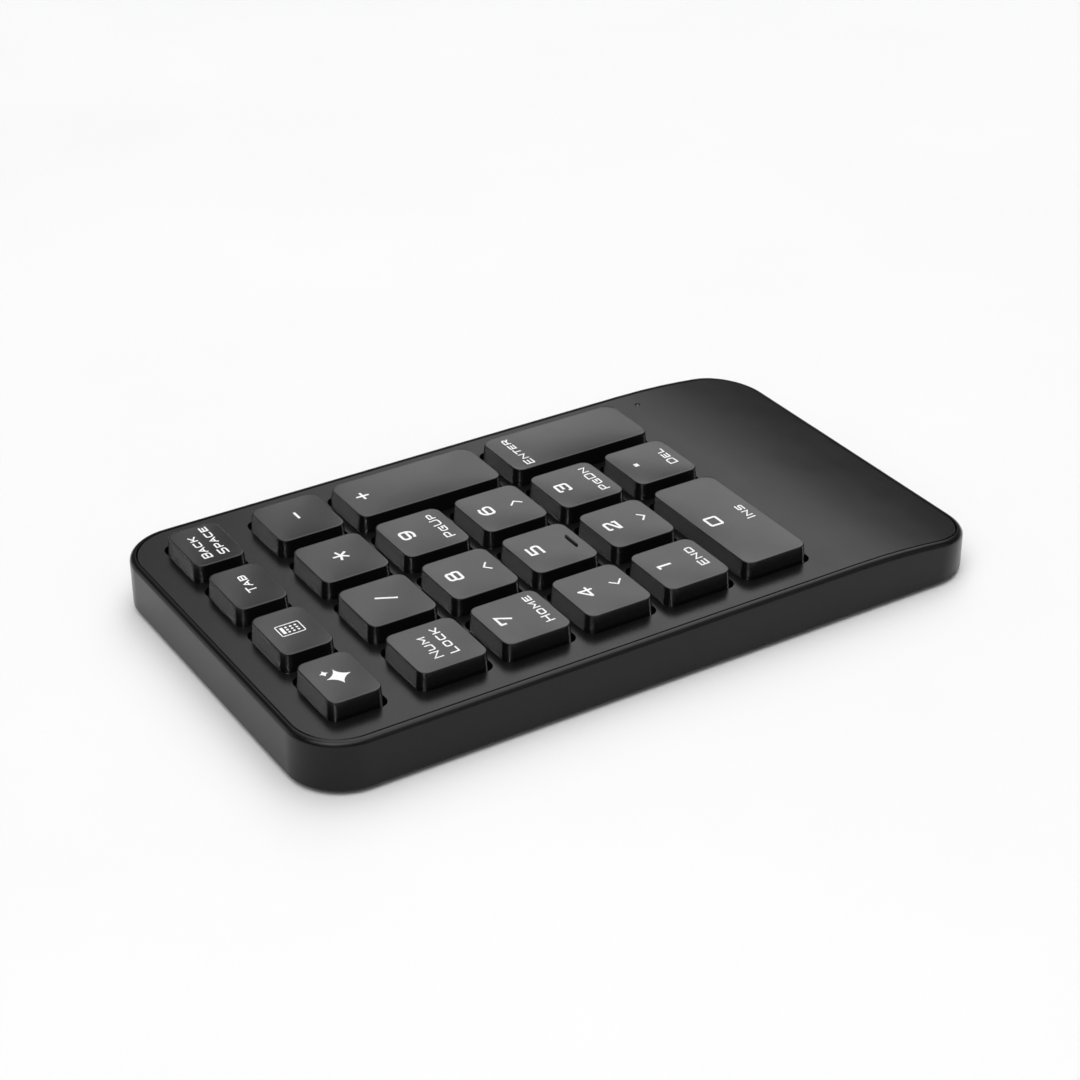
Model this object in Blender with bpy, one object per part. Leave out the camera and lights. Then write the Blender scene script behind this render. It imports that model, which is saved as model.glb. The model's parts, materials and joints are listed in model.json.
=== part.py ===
"""Wireless numeric keypad as an assembly of separate parts.

Frame: +X is the user's right, +Y points away from the user, +Z is up.
The origin is the centre of the footprint, on the surface that the rubber feet stand on.
Lengths are in metres.
"""

import math

import bmesh
import bpy
from mathutils import Matrix, Vector

MM = 0.001

# ---- driving dimensions -------------------------------------------------------------------
CASE_WIDTH = 89.4 * MM
CASE_LENGTH = 156.0 * MM
CORNER_R = 11.5 * MM
FOOT_H = 0.9 * MM  # the feet lift the case this much
DECK_H = 10.69 * MM  # deck surface above the case's underside
KEY_RISE = 3.35 * MM  # key tops above the deck
GAP = 0.3 * MM  # clearance left between separate pieces

RIM_W = 1.3 * MM
RIM_FILLET = 1.1 * MM
WALL = 1.6 * MM
LEDGE_W = 2.6 * MM
FLOOR_T = 1.5 * MM
DECK_T = 1.6 * MM
SLOPE_Y = -45.3 * MM  # in front of this line the deck curves down
SLOPE_R = 174.0 * MM

PITCH_X = 19.0 * MM
PITCH_Y = 18.54 * MM
KEY_W = 14.96 * MM  # flat top of a one-unit key
KEY_D = 14.49 * MM
FN_D = 10.6 * MM
KEY_R = 1.9 * MM
KEY_WALL = 1.1 * MM
KEY_TOP_T = 1.44 * MM
SKIRT = 4.14 * MM  # from the key top down to the end of its skirt
TRAVEL = 2.2 * MM
WELL_X = 1.15 * MM  # well edge outside the key top, across
WELL_Y = 0.95 * MM
NUM_ROW_Y = 43.48 * MM
FN_ROW_Y = 64.03 * MM
FN_SHIFT = 0.15 * MM
COL_1_X = -28.5 * MM

STEM_D = 4.2 * MM
STEM_END = 6.2 * MM  # heights below are above the case's underside
DOME_TOP = 6.0 * MM
MAT_Z0, MAT_Z1 = 3.2 * MM, 3.6 * MM
MEMBRANE_Z0, MEMBRANE_Z1 = 2.6 * MM, 2.9 * MM
PLATE_Z0, PLATE_Z1 = 1.8 * MM, 2.3 * MM
FRAME_Z0, FRAME_Z1 = 6.4 * MM, 7.4 * MM
CHIMNEY_TOP = 10.0 * MM
CHIMNEY_BORE = 4.9 * MM
CHIMNEY_D = 6.8 * MM
STACK_HALF_W = 37.0 * MM
STACK_FRONT, STACK_REAR = -41.5 * MM, 72.0 * MM

SCREW_X = 39.6 * MM
SCREW_YS = (60.0 * MM, 6.4 * MM, -60.0 * MM)

CELL_X, CELL_Y = -16.0 * MM, -55.5 * MM
DOOR_D = 25.4 * MM
DOOR_TURN = math.radians(-45)  # anticlockwise when seen from below
LED_X, LED_Y = 38.2 * MM, -46.8 * MM
SWITCH_X, SWITCH_Y = 20.0 * MM, -62.0 * MM
SWITCH_STROKE = 3.0 * MM

WIRE_D = 1.0 * MM
WIRE_ARM = 7.0 * MM
WIRE_AXIS_Z = 8.3 * MM

KEY_TOP_Z = FOOT_H + DECK_H + KEY_RISE


# ---- scene and helpers --------------------------------------------------------------------
for old in list(bpy.data.objects):
    bpy.data.objects.remove(old, do_unlink=True)


def colour(name, rgb, rough=0.6, metal=0.0):
    mat = bpy.data.materials.new(name)
    mat.use_nodes = True
    bsdf = mat.node_tree.nodes["Principled BSDF"]
    bsdf.inputs["Base Color"].default_value = (*rgb, 1.0)
    bsdf.inputs["Roughness"].default_value = rough
    bsdf.inputs["Metallic"].default_value = metal
    return mat


BLACK = (0.03, 0.03, 0.032)
LOOKS = {
    "case": (BLACK, 0.55, 0.0),
    "key": ((0.045, 0.045, 0.048), 0.5, 0.0),
    "steel": ((0.55, 0.56, 0.58), 0.3, 1.0),
    "screw": ((0.12, 0.12, 0.13), 0.35, 1.0),
    "rubber": ((0.02, 0.02, 0.02), 0.85, 0.0),
    "silicone": ((0.75, 0.75, 0.72), 0.6, 0.0),
    "film": ((0.55, 0.62, 0.58), 0.3, 0.0),
    "board": ((0.02, 0.16, 0.07), 0.45, 0.0),
    "brass": ((0.75, 0.6, 0.3), 0.3, 1.0),
    "lens": ((0.5, 0.52, 0.5), 0.15, 0.0),
}


def mesh_object(name, bm, look, smooth=True):
    bmesh.ops.recalc_face_normals(bm, faces=bm.faces)
    mesh = bpy.data.meshes.new(name)
    bm.to_mesh(mesh)
    bm.free()
    obj = bpy.data.objects.new(name, mesh)
    bpy.context.scene.collection.objects.link(obj)
    if look:
        mesh.materials.append(colour(name + "_mat", *LOOKS[look]))
    if smooth:
        mesh.shade_smooth()
        mesh.set_sharp_from_angle(angle=math.radians(32))
    return obj


def loft(bm, rings, caps=True):
    """Faces between rings of points, in order, with the first and last ring closed."""
    made = [[bm.verts.new(p) for p in ring] for ring in rings]
    for a, b in zip(made, made[1:]):
        for i in range(len(a)):
            j = (i + 1) % len(a)
            bm.faces.new((a[i], a[j], b[j], b[i]))
    if caps:
        bm.faces.new(made[0])
        bm.faces.new(made[-1])
    return made


def rounded(hx, hy, r, seg, out=0.0, cx=0.0, cy=0.0):
    """Points of a rounded rectangle, counter-clockwise from the front right corner."""
    pts = []
    r = max(r, 0.05 * MM)
    for k, (sx, sy) in enumerate(((1, -1), (1, 1), (-1, 1), (-1, -1))):
        start = -math.pi / 2 + k * math.pi / 2
        for i in range(seg + 1):
            a = start + i * math.pi / 2 / seg
            rr = max(r + out, 0.0)
            pts.append((cx + sx * (hx - r) + rr * math.cos(a), cy + sy * (hy - r) + rr * math.sin(a)))
    return pts


def at_z(points, z):
    return [(x, y, z) for x, y in points]


def circle(cx, cy, d, n, turn=0.0):
    angles = [turn + 2 * math.pi * i / n for i in range(n)]
    return [(cx + d / 2 * math.cos(a), cy + d / 2 * math.sin(a)) for a in angles]


def add_box(bm, x0, x1, y0, y1, z0, z1):
    flat = [(x0, y0), (x1, y0), (x1, y1), (x0, y1)]
    loft(bm, [at_z(flat, z0), at_z(flat, z1)])


def add_cylinder(bm, cx, cy, d, z0, z1, n=12):
    ring = circle(cx, cy, d, n)
    loft(bm, [at_z(ring, z0), at_z(ring, z1)])


def combine(obj, other, how):
    """The EXACT Boolean of two objects, made part of the first one's mesh."""
    mod = obj.modifiers.new(how.lower(), "BOOLEAN")
    mod.operation = how
    mod.solver = "EXACT"
    mod.object = other
    bpy.context.view_layer.update()
    graph = bpy.context.evaluated_depsgraph_get()
    mesh = bpy.data.meshes.new_from_object(obj.evaluated_get(graph), depsgraph=graph)
    obj.modifiers.remove(mod)
    old = obj.data
    mesh.name = old.name
    obj.data = mesh
    bpy.data.meshes.remove(old)
    bpy.data.objects.remove(other, do_unlink=True)
    mesh.shade_smooth()
    mesh.set_sharp_from_angle(angle=math.radians(32))
    return obj


def helper(bm):
    obj = mesh_object("helper", bm, None, smooth=False)
    obj.hide_render = True
    obj.display_type = "WIRE"
    return obj


# ---- the keys -----------------------------------------------------------------------------
def col(c):
    return COL_1_X + c * PITCH_X


def row(r):
    return NUM_ROW_Y - r * PITCH_Y


# name: centre x, centre y, width and depth of the flat top
KEYS = {
    "key_assist": (col(0) + FN_SHIFT, FN_ROW_Y, KEY_W, FN_D),
    "key_calculator": (col(1) + FN_SHIFT, FN_ROW_Y, KEY_W, FN_D),
    "key_tab": (col(2) + FN_SHIFT, FN_ROW_Y, KEY_W, FN_D),
    "key_backspace": (col(3) + FN_SHIFT, FN_ROW_Y, KEY_W, FN_D),
    "key_numlock": (col(0), row(0), KEY_W, KEY_D),
    "key_divide": (col(1), row(0), KEY_W, KEY_D),
    "key_multiply": (col(2), row(0), KEY_W, KEY_D),
    "key_minus": (col(3), row(0), KEY_W, KEY_D),
    "key_7": (col(0), row(1), KEY_W, KEY_D),
    "key_8": (col(1), row(1), KEY_W, KEY_D),
    "key_9": (col(2), row(1), KEY_W, KEY_D),
    "key_4": (col(0), row(2), KEY_W, KEY_D),
    "key_5": (col(1), row(2), KEY_W, KEY_D),
    "key_6": (col(2), row(2), KEY_W, KEY_D),
    "key_1": (col(0), row(3), KEY_W, KEY_D),
    "key_2": (col(1), row(3), KEY_W, KEY_D),
    "key_3": (col(2), row(3), KEY_W, KEY_D),
    "key_point": (col(2), row(4), KEY_W, KEY_D),
    "key_plus": (col(3), row(1.5), KEY_W, KEY_D + PITCH_Y),
    "key_enter": (col(3), row(3.5), KEY_W, KEY_D + PITCH_Y),
    "key_0": (col(0.5), row(4), KEY_W + PITCH_X, KEY_D),
}
# long keys: along which axis the levelling wire lies, and which way its arms point
LEVELLED = {"key_plus": "Y", "key_enter": "Y", "key_0": "X"}
WIRE_HALF = 12.4 * MM  # half the distance between a wire's arms
WIRE_BACK = 4.9 * MM  # from the key's centre line to the wire's own axis
HOOK_T = 1.0 * MM
ARM_LIFT = math.asin((TRAVEL - 0.1 * MM) / WIRE_ARM)


def levelled_point(name, along, across, z):
    """A point under a long key: along its length, across it, and a height above the case's underside."""
    cx, cy = KEYS[name][:2]
    if LEVELLED[name] == "X":
        return (cx + along, cy + across, FOOT_H + z)
    return (cx - across, cy + along, FOOT_H + z)


def box_under(bm, name, a0, a1, c0, c1, z0, z1):
    p = levelled_point(name, a0, c0, z0)
    q = levelled_point(name, a1, c1, z1)
    add_box(bm, min(p[0], q[0]), max(p[0], q[0]), min(p[1], q[1]), max(p[1], q[1]), p[2], q[2])


def keycap(name, cx, cy, w, d):
    """A hollow keycap with a round stem; its origin is on the stem's axis at the key top."""
    bm = bmesh.new()
    hx, hy = w / 2, d / 2
    seg = 4
    outer = (
        (0.0, 0.0),
        (0.07 * MM, 0.03 * MM),
        (0.14 * MM, 0.1 * MM),
        (0.18 * MM, 0.22 * MM),
        (0.56 * MM, SKIRT),
    )
    inner = ((0.56 * MM - KEY_WALL, SKIRT), (0.24 * MM - KEY_WALL, KEY_TOP_T))
    rings = [at_z(rounded(hx, hy, KEY_R, seg, out), -drop) for out, drop in outer]
    rings += [at_z(rounded(hx, hy, KEY_R, seg, out), -drop) for out, drop in inner]
    loft(bm, rings)
    obj = mesh_object(name, bm, "key")
    add = bmesh.new()
    stem_end = -(KEY_TOP_Z - FOOT_H - STEM_END)
    add_cylinder(add, 0, 0, STEM_D, stem_end, -KEY_TOP_T + 0.3 * MM, n=8)
    combine(obj, helper(add), "UNION")
    obj.location = (cx, cy, KEY_TOP_Z)
    return obj


shared = {}
for key, (x, y, w, d) in KEYS.items():
    size = (round(w, 6), round(d, 6))
    if key in LEVELLED or key == "key_5" or size not in shared:
        made = keycap(key, x, y, w, d)
        if key not in LEVELLED and key != "key_5":
            shared[size] = made
        continue
    twin = bpy.data.objects.new(key, shared[size].data.copy())
    twin.data.name = key
    twin.data.materials.clear()
    twin.data.materials.append(colour(key + "_mat", *LOOKS["key"]))
    twin.location = (x, y, KEY_TOP_Z)
    bpy.context.scene.collection.objects.link(twin)

# the raised locating bar on the 5
bar = bmesh.new()
bar_pts = rounded(2.45 * MM, 0.36 * MM, 0.34 * MM, 3, 0.0, 0.0, -5.2 * MM)
bar_top = rounded(2.45 * MM, 0.36 * MM, 0.34 * MM, 3, -0.16 * MM, 0.0, -5.2 * MM)
loft(bar, [at_z(bar_pts, -0.2 * MM), at_z(bar_pts, 0.16 * MM), at_z(bar_top, 0.3 * MM)])
bar_obj = helper(bar)
bar_obj.location = bpy.data.objects["key_5"].location
combine(bpy.data.objects["key_5"], bar_obj, "UNION")

# hooks inside each long key, which its levelling wire's ends lie in
HOOK_C = -WIRE_BACK + WIRE_ARM * math.cos(ARM_LIFT)
TIP_Z = WIRE_AXIS_Z + WIRE_ARM * math.sin(ARM_LIFT)
CEILING = DECK_H + KEY_RISE - KEY_TOP_T
HOOK_END = FRAME_Z1 + TRAVEL + GAP
for key in LEVELLED:
    hooks = bmesh.new()
    for side in (-1, 1):
        a = side * (WIRE_HALF - 1.4 * MM)
        a0, a1 = a - HOOK_T / 2, a + HOOK_T / 2
        c0, c1 = HOOK_C - 1.0 * MM, HOOK_C + 1.2 * MM
        t = 0.8 * MM
        box_under(hooks, key, a0, a1, c0 - t, c0, HOOK_END, CEILING + 0.3 * MM)
        box_under(hooks, key, a0, a1, c1, c1 + t, HOOK_END, CEILING + 0.3 * MM)
    combine(bpy.data.objects[key], helper(hooks), "UNION")


# ---- outline shared by the case and the deck ------------------------------------------------
def deck_z(y):
    """Height of the deck surface above the case's underside."""
    if y >= SLOPE_Y:
        return DECK_H
    return DECK_H - (SLOPE_Y - y) ** 2 / (2 * SLOPE_R)


CORNER_SEG = 12


def outline(inset):
    """The case's outline moved inwards, as a front-to-rear right half and its mirrored left half."""
    hx, hy = CASE_WIDTH / 2, CASE_LENGTH / 2
    r = CORNER_R - inset
    right = []
    for i in range(CORNER_SEG + 1):
        a = -math.pi / 2 + i * math.pi / 2 / CORNER_SEG
        right.append((hx - CORNER_R + r * math.cos(a), -hy + CORNER_R + r * math.sin(a)))
    for y in (-62.0 * MM, -57.0 * MM, -51.5 * MM, SLOPE_Y):
        right.append((hx - inset, y))
    for i in range(CORNER_SEG + 1):
        a = i * math.pi / 2 / CORNER_SEG
        right.append((hx - CORNER_R + r * math.cos(a), hy - CORNER_R + r * math.sin(a)))
    return right + [(-x, y) for x, y in reversed(right)]


def on_deck(inset, down=0.0):
    return [(x, y, FOOT_H + deck_z(y) - down) for x, y in outline(inset)]


def level(inset, z):
    return [(x, y, FOOT_H + z) for x, y in outline(inset)]


def strip_cap(bm, ring):
    """Closes a mirrored ring with quads across it, so that a curved deck stays smooth."""
    n = len(ring) // 2
    for i in range(n - 1):
        bm.faces.new((ring[i], ring[i + 1], ring[2 * n - 2 - i], ring[2 * n - 1 - i]))


# ---- top cover ----------------------------------------------------------------------------
COVER_INSET = RIM_W + GAP
cover = bmesh.new()
made = loft(
    cover,
    [
        on_deck(COVER_INSET + 0.12 * MM),
        on_deck(COVER_INSET, 0.12 * MM),
        on_deck(COVER_INSET, DECK_T),
    ],
    caps=False,
)
strip_cap(cover, made[0])
strip_cap(cover, made[-1])
top_cover = mesh_object("top_cover", cover, "case")
posts = bmesh.new()
for sx in (-1, 1):
    for y in SCREW_YS:
        under = FOOT_H + deck_z(y) - DECK_T
        add_cylinder(posts, sx * SCREW_X, y, 4.2 * MM, FOOT_H + 5.2 * MM, under + 0.35 * MM, n=12)
combine(top_cover, helper(posts), "UNION")
wells = bmesh.new()
for x, y, w, d in KEYS.values():
    pts = rounded(w / 2 + WELL_X, d / 2 + WELL_Y, 2.1 * MM, 4, 0.0, x, y)
    loft(wells, [at_z(pts, FOOT_H + 8.0 * MM), at_z(pts, FOOT_H + 12.0 * MM)])
for sx in (-1, 1):
    for y in SCREW_YS:
        add_cylinder(wells, sx * SCREW_X, y, 2.3 * MM, FOOT_H + 4.0 * MM, FOOT_H + 7.8 * MM, n=12)
add_cylinder(wells, LED_X, LED_Y, 1.2 * MM, FOOT_H + 7.0 * MM, FOOT_H + 12.0 * MM, n=16)
combine(top_cover, helper(wells), "DIFFERENCE")

# ---- bottom case --------------------------------------------------------------------------
case = bmesh.new()
rings = [level(0.35 * MM, 0.0), level(0.0, 0.35 * MM)]
for k in range(5):
    a = k * math.pi / 2 / 4
    rings.append(on_deck(RIM_FILLET * (1 - math.cos(a)), RIM_FILLET * (1 - math.sin(a))))
rings += [
    on_deck(RIM_W),
    on_deck(RIM_W, DECK_T + GAP),
    on_deck(LEDGE_W, DECK_T + GAP),
    on_deck(LEDGE_W, DECK_T + GAP + 0.9 * MM),
    on_deck(WALL, DECK_T + GAP + 1.8 * MM),
    level(WALL, FLOOR_T),
]
made = loft(case, rings, caps=False)
case.faces.new(made[0])
case.faces.new(made[-1])
bottom_case = mesh_object("bottom_case", case, "case")
bosses = bmesh.new()
for sx in (-1, 1):
    for y in SCREW_YS:
        add_cylinder(bosses, sx * SCREW_X, y, 5.2 * MM, FOOT_H + 1.2 * MM, FOOT_H + 4.9 * MM, n=16)
combine(bottom_case, helper(bosses), "UNION")

FEET = [(x * MM, y * MM) for y in (-72.0, 71.0) for x in (-29.0, 29.0)]
FOOT_L, FOOT_W = 15.0 * MM, 4.6 * MM
cuts = bmesh.new()
for sx in (-1, 1):
    for y in SCREW_YS:
        add_cylinder(cuts, sx * SCREW_X, y, 3.9 * MM, FOOT_H - 1 * MM, FOOT_H + 2.2 * MM, n=16)
for x, y in FEET:
    pts = rounded(FOOT_L / 2 + GAP, FOOT_W / 2 + GAP, 2.0 * MM, 3, 0.0, x, y)
    loft(cuts, [at_z(pts, FOOT_H - 1 * MM), at_z(pts, FOOT_H + 0.5 * MM)])
add_cylinder(cuts, CELL_X, CELL_Y, DOOR_D + 2 * GAP, FOOT_H - 1 * MM, FOOT_H + 3 * MM, n=32)
combine(bottom_case, helper(cuts), "DIFFERENCE")
cuts = bmesh.new()
for sx in (-1, 1):
    for y in SCREW_YS:
        add_cylinder(cuts, sx * SCREW_X, y, 2.3 * MM, FOOT_H - 1.2 * MM, FOOT_H + 5.5 * MM, n=12)
# the slots that the door's two tabs drop through when it is turned
slot = [(-15.1 * MM, -2.6 * MM), (15.1 * MM, -2.6 * MM), (15.1 * MM, 2.6 * MM), (-15.1 * MM, 2.6 * MM)]
spin = Matrix.Rotation(DOOR_TURN, 2)
slot = [spin @ Vector(p) + Vector((CELL_X, CELL_Y)) for p in slot]
loft(cuts, [at_z(slot, FOOT_H - 1.3 * MM), at_z(slot, FOOT_H + 2.9 * MM)])
# the power switch's window and the shallow dish round it
sw = rounded(3.4 * MM, 1.9 * MM, 0.6 * MM, 2, 0.0, SWITCH_X, SWITCH_Y)
loft(cuts, [at_z(sw, FOOT_H - 1.4 * MM), at_z(sw, FOOT_H + 3.1 * MM)])
combine(bottom_case, helper(cuts), "DIFFERENCE")
dish = bmesh.new()
low = rounded(5.6 * MM, 3.1 * MM, 1.6 * MM, 4, 0.25 * MM, SWITCH_X, SWITCH_Y)
high = rounded(5.6 * MM, 3.1 * MM, 1.6 * MM, 4, -0.3 * MM, SWITCH_X, SWITCH_Y)
loft(dish, [at_z(low, FOOT_H - 0.25 * MM), at_z(high, FOOT_H + 0.5 * MM)])
combine(bottom_case, helper(dish), "DIFFERENCE")

for i, (x, y) in enumerate(FEET):
    foot = bmesh.new()
    pts = rounded(FOOT_L / 2, FOOT_W / 2, 1.8 * MM, 3, 0.0, x, y)
    low = rounded(FOOT_L / 2, FOOT_W / 2, 1.8 * MM, 3, -0.3 * MM, x, y)
    loft(foot, [at_z(low, 0.0), at_z(pts, 0.25 * MM), at_z(pts, FOOT_H + 0.2 * MM)])
    mesh_object(f"foot_{i + 1}", foot, "rubber")

for i, (sx, y) in enumerate((sx, y) for sx in (-1, 1) for y in SCREW_YS):
    x = sx * SCREW_X
    screw = bmesh.new()
    base = FOOT_H + 0.6 * MM
    head, shank = 3.3 * MM, 1.7 * MM
    loft(
        screw,
        [
            at_z(circle(x, y, head - 0.5 * MM, 10), base),
            at_z(circle(x, y, head, 10), base + 0.25 * MM),
            at_z(circle(x, y, head, 10), base + 1.2 * MM),
            at_z(circle(x, y, shank, 10), base + 1.2 * MM),
            at_z(circle(x, y, shank, 10), FOOT_H + 7.2 * MM),
            at_z(circle(x, y, 0.6 * MM, 10), FOOT_H + 7.6 * MM),
        ],
    )
    body = mesh_object(f"screw_{i + 1}", screw, "screw")
    cross = bmesh.new()
    a, b = 1.0 * MM, 0.24 * MM
    arm = [(-a, -b), (-b, -b), (-b, -a)]
    plus = [(x + u, y + v) for u, v in arm + [(-u, v) for u, v in reversed(arm)]]
    plus += [(x - u, y - v) for u, v in arm + [(-u, v) for u, v in reversed(arm)]]
    loft(cross, [at_z(plus, base - 0.5 * MM), at_z(plus, base + 0.6 * MM)])
    combine(body, helper(cross), "DIFFERENCE")

# ---- key frame ----------------------------------------------------------------------------
sheet = bmesh.new()
hx = STACK_HALF_W
hy = (STACK_REAR - STACK_FRONT) / 2
mid_y = (STACK_REAR + STACK_FRONT) / 2
pts = rounded(hx, hy, 3.0 * MM, 3, 0.0, 0.0, mid_y)
loft(sheet, [at_z(pts, FOOT_H + FRAME_Z0), at_z(pts, FOOT_H + FRAME_Z1)])
key_frame = mesh_object("key_frame", sheet, "case")
tubes = bmesh.new()
for x, y, w, d in KEYS.values():
    add_cylinder(tubes, x, y, CHIMNEY_D, FOOT_H + FRAME_Z0 + 0.4 * MM, FOOT_H + CHIMNEY_TOP, n=8)
for key in LEVELLED:
    for side in (-1, 1):
        a = side * 6.6 * MM
        for c in (-WIRE_BACK - WIRE_D / 2 - GAP - 0.6 * MM, -WIRE_BACK + WIRE_D / 2 + GAP):
            low, high = FRAME_Z1 - 0.4 * MM, 9.1 * MM
            box_under(tubes, key, a - 0.9 * MM, a + 0.9 * MM, c, c + 0.6 * MM, low, high)
combine(key_frame, helper(tubes), "UNION")
bores = bmesh.new()
for x, y, w, d in KEYS.values():
    z0, z1 = FOOT_H + FRAME_Z0 - 1 * MM, FOOT_H + CHIMNEY_TOP + 1 * MM
    add_cylinder(bores, x, y, CHIMNEY_BORE, z0, z1, n=8)
combine(key_frame, helper(bores), "DIFFERENCE")

# ---- levelling wires ----------------------------------------------------------------------
def bent_wire(bm, path, d, n=6):
    """A round wire along straight legs, with a mitred ring at each bend."""
    pts = [Vector(p) for p in path]
    rings = []
    dirs = [(q - p).normalized() for p, q in zip(pts, pts[1:])]
    side = dirs[0].orthogonal().normalized()
    up = dirs[0].cross(side)
    for i, p in enumerate(pts):
        if i == 0 or i == len(pts) - 1:
            normal = dirs[min(i, len(dirs) - 1)]
        else:
            normal = (dirs[i - 1] + dirs[i]).normalized()
        along = dirs[max(i - 1, 0)]
        ring = []
        for k in range(n):
            a = 2 * math.pi * (k + 0.5) / n
            offset = (side * math.cos(a) + up * math.sin(a)) * d / 2
            start = p + offset
            hit = start + along * ((p - start).dot(normal) / along.dot(normal))
            ring.append(hit)
        rings.append(ring)
        if 0 < i < len(pts) - 1:
            turn = dirs[i - 1].rotation_difference(dirs[i])
            side = turn @ side
            up = turn @ up
    loft(bm, rings)


for key in LEVELLED:
    tip_in = WIRE_HALF - 2.2 * MM
    legs = [
        (-tip_in, HOOK_C, TIP_Z),
        (-WIRE_HALF, HOOK_C, TIP_Z),
        (-WIRE_HALF, -WIRE_BACK, WIRE_AXIS_Z),
        (WIRE_HALF, -WIRE_BACK, WIRE_AXIS_Z),
        (WIRE_HALF, HOOK_C, TIP_Z),
        (tip_in, HOOK_C, TIP_Z),
    ]
    pivot = Vector(levelled_point(key, 0, -WIRE_BACK, WIRE_AXIS_Z))
    wire = bmesh.new()
    bent_wire(wire, [Vector(levelled_point(key, *leg)) - pivot for leg in legs], WIRE_D)
    obj = mesh_object("wire_" + key[4:], wire, "steel")
    obj.location = pivot

# ---- dome mat, membrane and stiffening plate ------------------------------------------------
mat = bmesh.new()
loft(mat, [at_z(pts, FOOT_H + MAT_Z0), at_z(pts, FOOT_H + MAT_Z1)])
dome_mat = mesh_object("dome_mat", mat, "silicone")
domes = bmesh.new()
for x, y, w, d in KEYS.values():
    loft(
        domes,
        [
            at_z(circle(x, y, 7.6 * MM, 8), FOOT_H + MAT_Z1 - 0.15 * MM),
            at_z(circle(x, y, 6.2 * MM, 8), FOOT_H + DOME_TOP),
            at_z(circle(x, y, 5.0 * MM, 8), FOOT_H + DOME_TOP),
            at_z(circle(x, y, 5.0 * MM, 8), FOOT_H + MAT_Z1 + 0.05 * MM),
        ],
    )
combine(dome_mat, helper(domes), "UNION")

film = bmesh.new()
loft(film, [at_z(pts, FOOT_H + MEMBRANE_Z0), at_z(pts, FOOT_H + MEMBRANE_Z1)])
membrane = mesh_object("membrane", film, "film")
tail = bmesh.new()
z0, z1 = FOOT_H + MEMBRANE_Z0 + 1e-5, FOOT_H + MEMBRANE_Z1 - 1e-5
add_box(tail, 2 * MM, 12 * MM, -47.5 * MM, STACK_FRONT + 3 * MM, z0, z1)
combine(membrane, helper(tail), "UNION")

plate = bmesh.new()
loft(plate, [at_z(pts, FOOT_H + PLATE_Z0), at_z(pts, FOOT_H + PLATE_Z1)])
mesh_object("backing_plate", plate, "steel")

# ---- controller board, light pipe, cell, contacts -------------------------------------------
board = bmesh.new()
z0, z1 = FOOT_H + 3.3 * MM, FOOT_H + 4.3 * MM
shape = [(0, -74), (31, -74), (36, -69), (36, -52), (41, -52), (41, -43), (0, -43)]
shape = [(x * MM, y * MM) for x, y in shape]
loft(board, [at_z(shape, z0), at_z(shape, z1)])
circuit_board = mesh_object("circuit_board", board, "board", smooth=False)
chips = bmesh.new()
add_box(chips, 12 * MM, 19 * MM, -60 * MM, -53 * MM, z1 - 0.3 * MM, z1 + 0.9 * MM)
add_box(chips, 23 * MM, 26 * MM, -57 * MM, -55 * MM, z1 - 0.3 * MM, z1 + 0.7 * MM)
add_box(chips, 2 * MM, 12 * MM, -48 * MM, -45 * MM, z1 - 0.3 * MM, z1 + 1.0 * MM)
add_box(chips, 36.6 * MM, 39.8 * MM, -48 * MM, -45.6 * MM, z1 - 0.3 * MM, z1 + 0.7 * MM)
combine(circuit_board, helper(chips), "UNION")

lens = bmesh.new()
ring = circle(LED_X, LED_Y, 0.6 * MM, 12)
wide = circle(LED_X, LED_Y, 2.4 * MM, 12)
top = FOOT_H + deck_z(LED_Y) - 0.1 * MM
loft(
    lens,
    [
        at_z(wide, z1 + 1.0 * MM),
        at_z(wide, z1 + 2.0 * MM),
        at_z(ring, z1 + 2.6 * MM),
        at_z(ring, top - 0.05 * MM),
        at_z(circle(LED_X, LED_Y, 0.45 * MM, 12), top),
    ],
)
mesh_object("led_pipe", lens, "lens")

cell = bmesh.new()
zc = FOOT_H + 1.5 * MM
loft(
    cell,
    [
        at_z(circle(CELL_X, CELL_Y, 17.4 * MM, 24), zc),
        at_z(circle(CELL_X, CELL_Y, 17.8 * MM, 24), zc + 0.3 * MM),
        at_z(circle(CELL_X, CELL_Y, 19.4 * MM, 24), zc + 0.35 * MM),
        at_z(circle(CELL_X, CELL_Y, 20.0 * MM, 24), zc + 0.65 * MM),
        at_z(circle(CELL_X, CELL_Y, 20.0 * MM, 24), zc + 3.0 * MM),
        at_z(circle(CELL_X, CELL_Y, 19.6 * MM, 24), zc + 3.2 * MM),
    ],
)
mesh_object("coin_cell", cell, "steel")

strip = bmesh.new()
zs = FOOT_H + 5.0 * MM
arm = [(-20, -58), (-12, -58), (-12, -56.5), (-1, -56.5)]
arm += [(-1, -54.5), (-12, -54.5), (-12, -53), (-20, -53)]
arm = [(x * MM, y * MM) for x, y in arm]
loft(strip, [at_z(arm, zs), at_z(arm, zs + 0.3 * MM)])
mesh_object("contact_top", strip, "brass", smooth=False)

clip = bmesh.new()
zn = FOOT_H + 2.9 * MM
bow = [(-5.6, -59.0), (-5.6, -52.0), (-5.2, -52.0), (-5.2, -55.0), (-0.4, -55.0), (-0.4, -56.0)]
bow += [(-5.2, -56.0), (-5.2, -59.0)]
bow = [(x * MM, y * MM) for x, y in bow]
loft(clip, [at_z(bow, zn), at_z(bow, zn + 1.8 * MM)])
mesh_object("contact_side", clip, "brass", smooth=False)

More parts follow.
